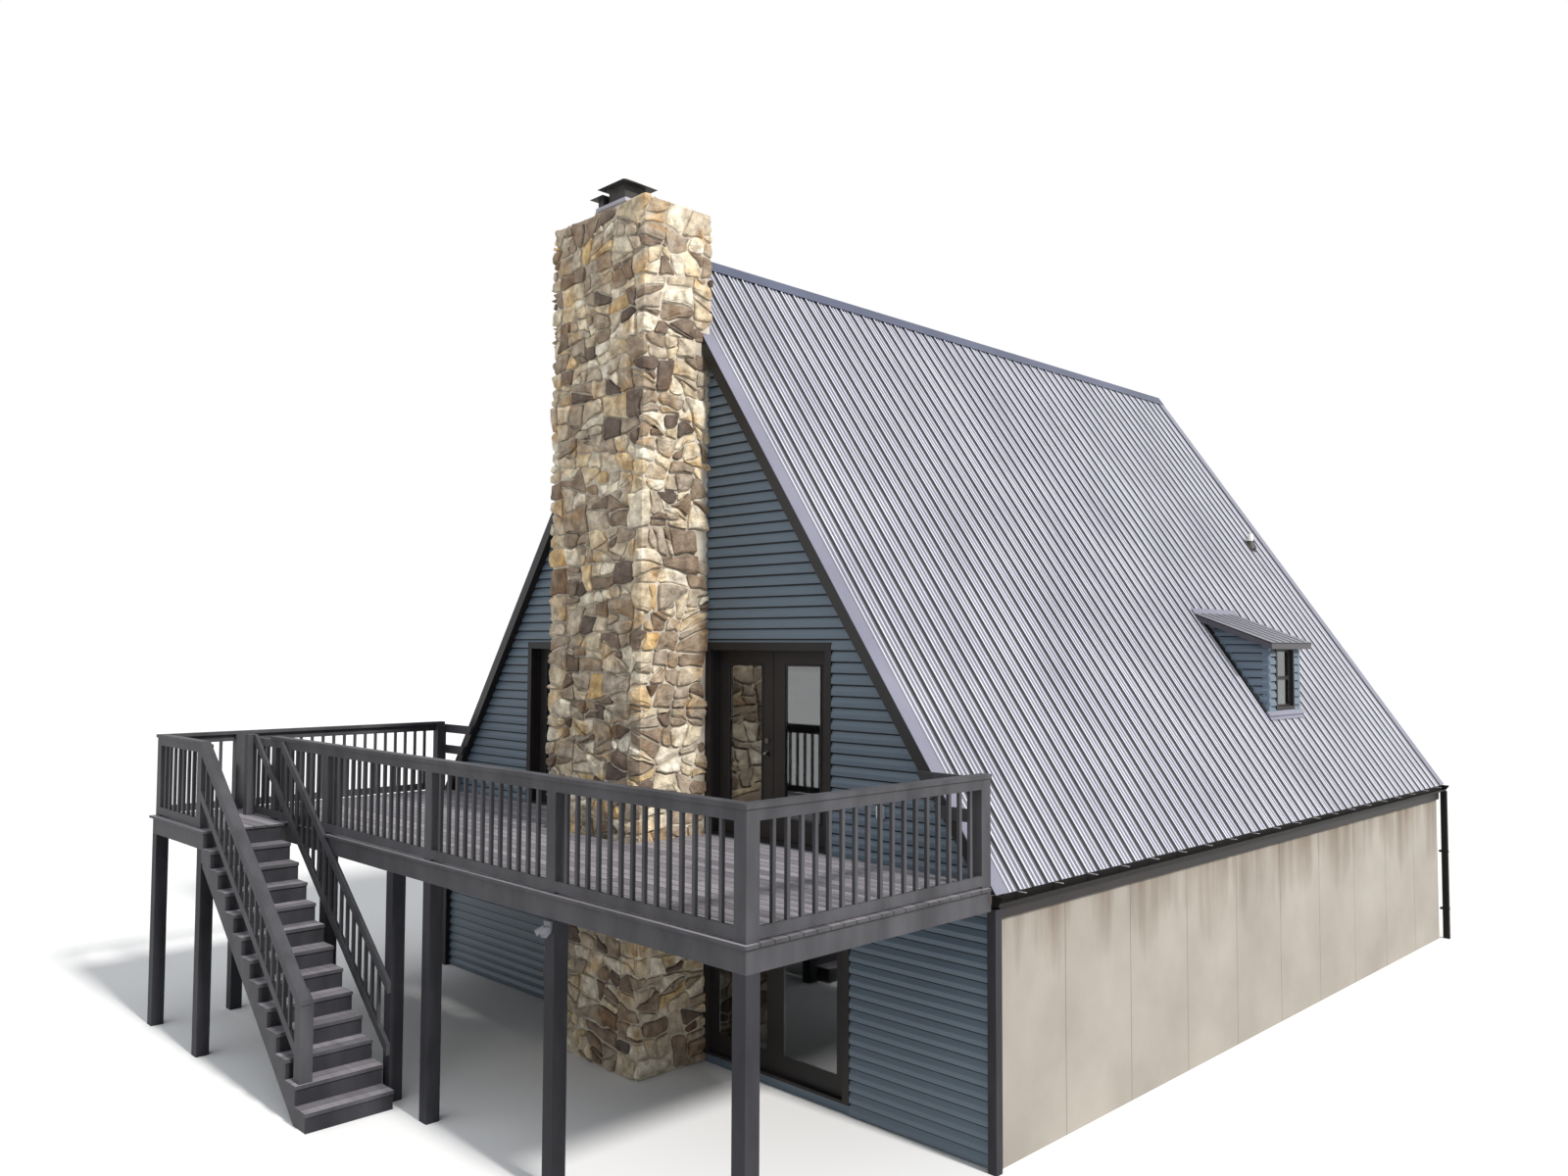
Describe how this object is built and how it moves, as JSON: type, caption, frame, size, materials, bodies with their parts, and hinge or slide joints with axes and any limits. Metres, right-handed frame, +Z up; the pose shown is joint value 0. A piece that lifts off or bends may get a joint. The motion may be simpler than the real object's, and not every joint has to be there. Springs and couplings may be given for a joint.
{
  "type": "a-frame cabin",
  "caption": "A-frame house on a walk-out basement, with a metal roof, a stone chimney, a dormer, paired glazed doors onto a railed deck, and an outside stair.",
  "frame": {"origin": "on the lowest ground, under the middle of the house's footprint", "axes": "+Z up, +Y along the ridge from the deck to the rear gable, +X to the right seen from the deck's side"},
  "size_m": [9.784, 16.135, 9.96],
  "materials": {
    "concrete": "smooth parged concrete",
    "siding": "painted lap siding over framing",
    "trim": "dark satin paint",
    "framing": "plain boards",
    "glass": "clear",
    "roofing": "charcoal satin",
    "gutter": "dark satin",
    "white_plastic": "white",
    "stonework": "rough field stone in thick mortar",
    "mortar": "trowelled mortar",
    "cap_metal": "dark matt",
    "door": "dark bronze satin",
    "hardware": "satin",
    "stained_wood": "dark stain",
    "deck_wood": "weathered stain"
  },
  "bodies": {
    "house": {"basement_slab": "concrete", "foundation_sides": "concrete", "foundation_rear": "concrete", "basement_wall": "siding", "basement_door": "trim", "main_floor": "framing", "front_wall_lower": "siding", "front_wall_upper": "siding", "rear_wall": "siding", "rear_windows": "trim", "window_glass": "glass", "roof_left": "framing", "roof_right": "framing", "metal_roof_left": "roofing", "metal_roof_right": "roofing", "ridge_cap": "roofing", "rake_trims": "roofing", "eave_boards": "trim", "gutters": "gutter", "dormer_walls": "siding", "dormer_roof": "roofing", "dormer_window": "trim", "vent_pipe": "white_plastic", "chimney_stack": "stonework", "chimney_crown": "mortar", "chimney_caps": "cap_metal", "door_frames": "trim", "deck_posts": "stained_wood", "deck_frame": "stained_wood", "deck_boards": "deck_wood", "front_railing": "stained_wood", "side_railings": "stained_wood", "landing_railing": "stained_wood", "stair_stringers": "stained_wood", "stair_treads": "deck_wood", "stair_risers": "stained_wood", "stair_railings": "stained_wood", "floodlight": "white_plastic"},
    "right_inner_leaf": {"right_door_inner": "door", "right_inner_glass": "glass", "right_door_knobs": "hardware"},
    "right_outer_leaf": {"right_door_outer": "door", "right_outer_glass": "glass"},
    "left_inner_leaf": {"left_door_inner": "door", "left_inner_glass": "glass", "left_door_knobs": "hardware"},
    "left_outer_leaf": {"left_door_outer": "door", "left_outer_glass": "glass"}
  },
  "joints": [
    {"name": "right_inner_hinge", "type": "hinge", "parent": "house", "child": "right_inner_leaf", "pos_m": [0.938, -5.836, 3.526], "axis": [0, 0, 1], "range_deg": [0, 90]},
    {"name": "right_outer_hinge", "type": "hinge", "parent": "house", "child": "right_outer_leaf", "pos_m": [2.672, -5.836, 3.526], "axis": [0, 0, -1], "range_deg": [0, 90]},
    {"name": "left_inner_hinge", "type": "hinge", "parent": "house", "child": "left_inner_leaf", "pos_m": [-0.938, -5.836, 3.526], "axis": [0, 0, -1], "range_deg": [0, 90]},
    {"name": "left_outer_hinge", "type": "hinge", "parent": "house", "child": "left_outer_leaf", "pos_m": [-2.672, -5.836, 3.526], "axis": [0, 0, 1], "range_deg": [0, 90]}
  ]
}
